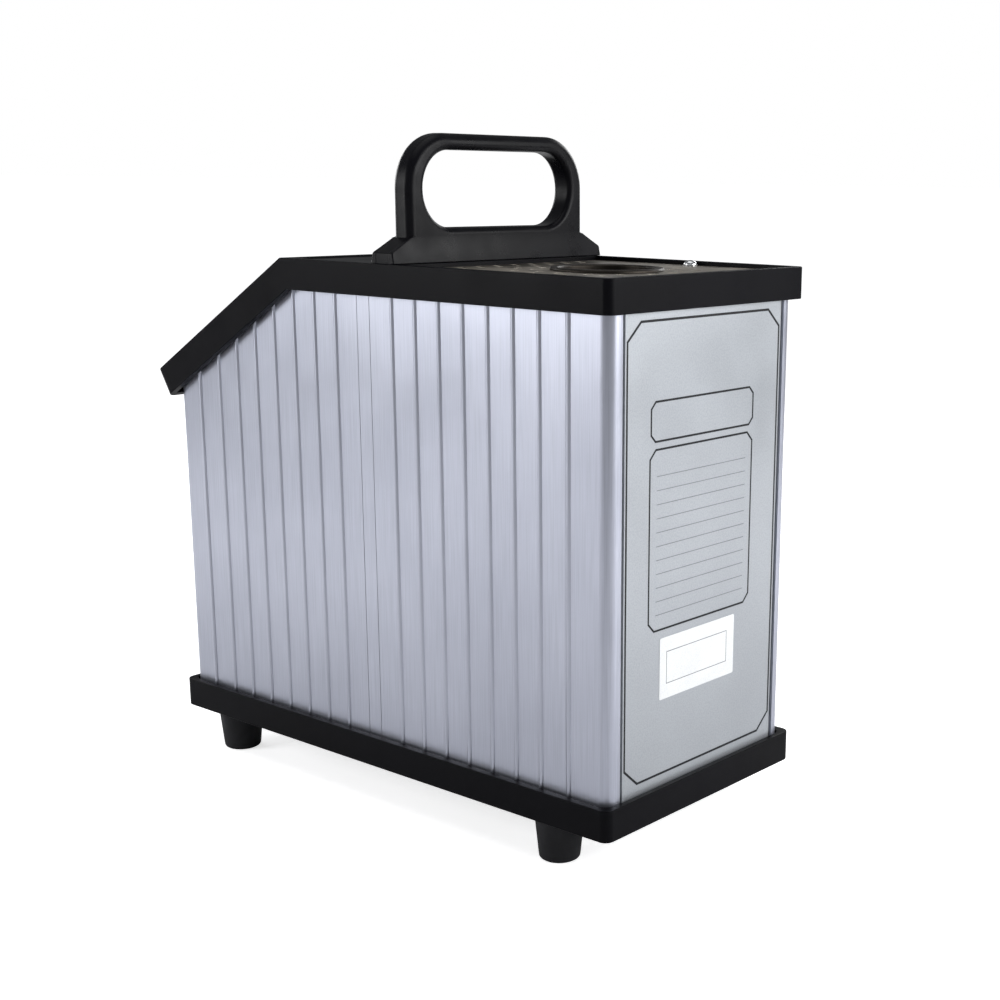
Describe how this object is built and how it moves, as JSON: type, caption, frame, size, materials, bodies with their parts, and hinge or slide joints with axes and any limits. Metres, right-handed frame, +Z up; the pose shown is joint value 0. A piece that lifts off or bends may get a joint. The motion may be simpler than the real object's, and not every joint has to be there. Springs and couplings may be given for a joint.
{
  "type": "dry block heater",
  "caption": "Portable dry block heater: a tall instrument case with a sloping control panel, beaded sides and a carrying handle over a round well with a lift-out drilled insert.",
  "frame": {"origin": "on the bench, below the middle of the case", "axes": "+Z is up, and the sloping control panel faces -Y"},
  "size_m": [0.144, 0.3122, 0.3245],
  "materials": {
    "bezel_plastic": "fine moulded texture",
    "handle_plastic": "fine moulded texture, satin",
    "anodised_side": "bead blasted and clear anodised extrusion",
    "anodised_post": "bead blasted and clear anodised extrusion",
    "panel_sheet": "fine satin sheet",
    "stainless": "brushed",
    "bright_metal": "bright plated",
    "zinc_sheet": "zinc plated sheet",
    "foot_rubber": "matt rubber",
    "block_metal": "turned",
    "insert_metal": "turned, lightly heat stained",
    "ceramic": "unglazed steatite",
    "fibre": "needled insulating felt",
    "black_plastic": "glass filled moulding",
    "meter_plastic": "fine moulded texture",
    "display_window": "tinted clear window",
    "key_rubber": "soft moulded keys",
    "rocker_red": "gloss moulding",
    "contact_metal": "bright plated contacts",
    "socket_plastic": "moulded thermocouple socket",
    "heatsink_alloy": "extruded and anodised"
  },
  "bodies": {
    "case": {"base_bezel": "bezel_plastic", "floor_pan": "zinc_sheet", "foot_front_left": "foot_rubber", "foot_front_right": "foot_rubber", "foot_rear_left": "foot_rubber", "foot_rear_right": "foot_rubber", "case_screws": "bright_metal", "side_panel_left_front": "anodised_side", "side_panel_left_rear": "anodised_side", "side_panel_right_front": "anodised_side", "side_panel_right_rear": "anodised_side", "side_joiner_left": "anodised_side", "side_joiner_right": "anodised_side", "corner_post_front_left": "anodised_post", "corner_post_front_right": "anodised_post", "corner_post_rear_left": "anodised_post", "corner_post_rear_right": "anodised_post", "rear_panel": "panel_sheet", "front_panel": "panel_sheet", "top_bezel": "bezel_plastic", "control_panel": "panel_sheet", "top_plate": "stainless", "well_collar": "bright_metal", "top_stud": "bright_metal", "handle": "handle_plastic", "handle_screws": "bright_metal", "panel_screws": "bright_metal", "heater_block": "block_metal", "heater_cartridges": "stainless", "block_spool": "ceramic", "carrier_plate": "zinc_sheet", "carrier_pillars": "bright_metal", "block_jacket": "fibre", "heat_shield": "stainless", "control_sensor": "stainless", "fan_frame": "black_plastic", "fan_guard": "bright_metal", "bulkhead": "zinc_sheet", "relay_heatsink": "heatsink_alloy", "solid_state_relay": "black_plastic", "indicator_bezel": "meter_plastic", "indicator_case": "black_plastic", "indicator_window": "display_window", "controller_bezel": "meter_plastic", "controller_case": "black_plastic", "controller_window": "display_window", "power_switch_frame": "black_plastic", "mains_inlet": "black_plastic", "inlet_pins": "contact_metal", "sensor_socket": "socket_plastic"},
    "insert": {"block_insert": "insert_metal"},
    "rotor": {"fan_rotor": "black_plastic"},
    "rocker": {"power_switch_rocker": "rocker_red"},
    "drawer": {"fuse_drawer": "black_plastic"},
    "indicator_left_key": {"indicator_key_left": "key_rubber"},
    "indicator_middle_key": {"indicator_key_middle": "key_rubber"},
    "indicator_right_key": {"indicator_key_right": "key_rubber"},
    "controller_left_key": {"controller_key_left": "key_rubber"},
    "controller_middle_key": {"controller_key_middle": "key_rubber"},
    "controller_right_key": {"controller_key_right": "key_rubber"}
  },
  "joints": [
    {"name": "insert_lift", "type": "slide", "parent": "case", "child": "insert", "axis": [0, 0, 1], "range_m": [0, 0.175]},
    {"name": "fan_spin", "type": "hinge", "parent": "case", "child": "rotor", "pos_m": [0, 0.09412, 0.038], "axis": [0, 0, 1], "continuous": true},
    {"name": "power_switch", "type": "hinge", "parent": "case", "child": "rocker", "pos_m": [-0.03, -0.13857, 0.152], "axis": [1, 0, 0], "range_deg": [-18, 0]},
    {"name": "fuse_drawer_pull", "type": "slide", "parent": "case", "child": "drawer", "axis": [0, -1, 0], "range_m": [0, 0.016]},
    {"name": "indicator_left_key_press", "type": "slide", "parent": "case", "child": "indicator_left_key", "axis": [0, 0.5165, -0.8563], "range_m": [0, 0.0008], "stiffness_N_per_m": 400},
    {"name": "indicator_middle_key_press", "type": "slide", "parent": "case", "child": "indicator_middle_key", "axis": [0, 0.5165, -0.8563], "range_m": [0, 0.0008], "stiffness_N_per_m": 400},
    {"name": "indicator_right_key_press", "type": "slide", "parent": "case", "child": "indicator_right_key", "axis": [0, 0.5165, -0.8563], "range_m": [0, 0.0008], "stiffness_N_per_m": 400},
    {"name": "controller_left_key_press", "type": "slide", "parent": "case", "child": "controller_left_key", "axis": [0, 0.5165, -0.8563], "range_m": [0, 0.0008], "stiffness_N_per_m": 400},
    {"name": "controller_middle_key_press", "type": "slide", "parent": "case", "child": "controller_middle_key", "axis": [0, 0.5165, -0.8563], "range_m": [0, 0.0008], "stiffness_N_per_m": 400},
    {"name": "controller_right_key_press", "type": "slide", "parent": "case", "child": "controller_right_key", "axis": [0, 0.5165, -0.8563], "range_m": [0, 0.0008], "stiffness_N_per_m": 400}
  ]
}
